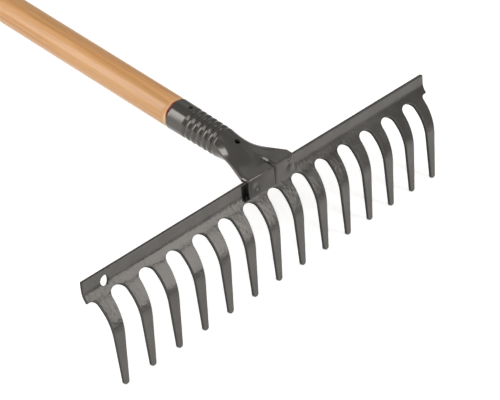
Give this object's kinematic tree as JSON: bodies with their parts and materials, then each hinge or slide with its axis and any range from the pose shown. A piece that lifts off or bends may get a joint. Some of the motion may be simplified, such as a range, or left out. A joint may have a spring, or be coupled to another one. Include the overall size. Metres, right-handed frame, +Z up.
{
  "type": "garden rake",
  "caption": "Garden rake with a pressed and painted steel tooth head, a grooved socket folded over the head's top edge and a long round varnished wooden handle.",
  "frame": {"origin": "bottom centre of the rake's box as it rests on flat ground, on its tooth tips and the far end of its handle", "axes": "+X along the head, +Y along the handle from the head towards the grip, +Z up"},
  "size_m": [0.3776, 1.4336, 0.082],
  "materials": {
    "painted_steel": "dark grey semi-gloss paint with a fine orange peel",
    "bare_steel": "dull wire nail",
    "varnished_wood": "clear satin varnish over fine straight grain"
  },
  "bodies": {
    "root": {"rake_head": "painted_steel", "socket": "painted_steel", "weld_bead_left": "painted_steel", "weld_bead_right": "painted_steel", "socket_nail": "bare_steel", "handle": "varnished_wood"}
  },
  "joints": []
}
